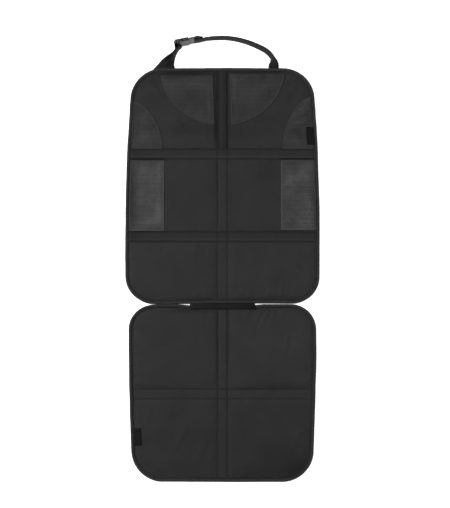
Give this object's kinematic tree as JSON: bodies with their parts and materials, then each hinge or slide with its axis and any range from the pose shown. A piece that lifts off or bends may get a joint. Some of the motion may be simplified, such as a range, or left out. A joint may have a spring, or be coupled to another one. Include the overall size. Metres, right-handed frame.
{
  "type": "car seat protector",
  "caption": "Padded mat that covers a car seat's backrest and cushion under a child seat, with mesh pockets and a buckled headrest strap.",
  "frame": {"origin": "middle of the bounding box, on the surface that the mat lies on", "axes": "+Z out of the mat's front, +Y along the mat from the seat's front edge towards the headrest strap, +X to the right as seen from the front"},
  "size_m": [0.4666, 1.0698, 0.0341],
  "materials": {
    "cover_cloth": "black coated polyester weave, dull sheen",
    "rear_cloth": "black non-slip backing cloth, dull",
    "binding": "black ribbed edge tape",
    "mesh": "black knitted mesh, slightly paler than the cloth",
    "tape": "black woven tape",
    "foam": "grey soft foam sheet, hidden",
    "label": "black satin label, bare",
    "webbing": "black woven webbing",
    "buckle": "black satin moulded plastic"
  },
  "bodies": {
    "root": {"backrest_binding": "binding", "backrest_front_cover": "cover_cloth", "backrest_label": "label", "backrest_pad_lower_left": "foam", "backrest_pad_lower_right": "foam", "backrest_pad_middle_left": "foam", "backrest_pad_middle_right": "foam", "backrest_pad_upper_left": "foam", "backrest_pad_upper_right": "foam", "backrest_rear_cover": "rear_cloth", "buckle_plug": "buckle", "buckle_socket": "buckle", "centre_tape": "tape", "cross_tape_lower": "tape", "cross_tape_upper": "tape", "joining_strip": "webbing", "neck_mesh_left": "mesh", "neck_mesh_right": "mesh", "seat_binding": "binding", "seat_front_cover": "cover_cloth", "seat_label": "label", "seat_pad_front_left": "foam", "seat_pad_front_right": "foam", "seat_pad_rear_left": "foam", "seat_pad_rear_right": "foam", "seat_rear_cover": "rear_cloth", "shoulder_mesh_left": "mesh", "shoulder_mesh_right": "mesh", "side_pocket_left": "mesh", "side_pocket_right": "mesh", "strap_long": "webbing", "strap_loop": "webbing"}
  },
  "joints": []
}
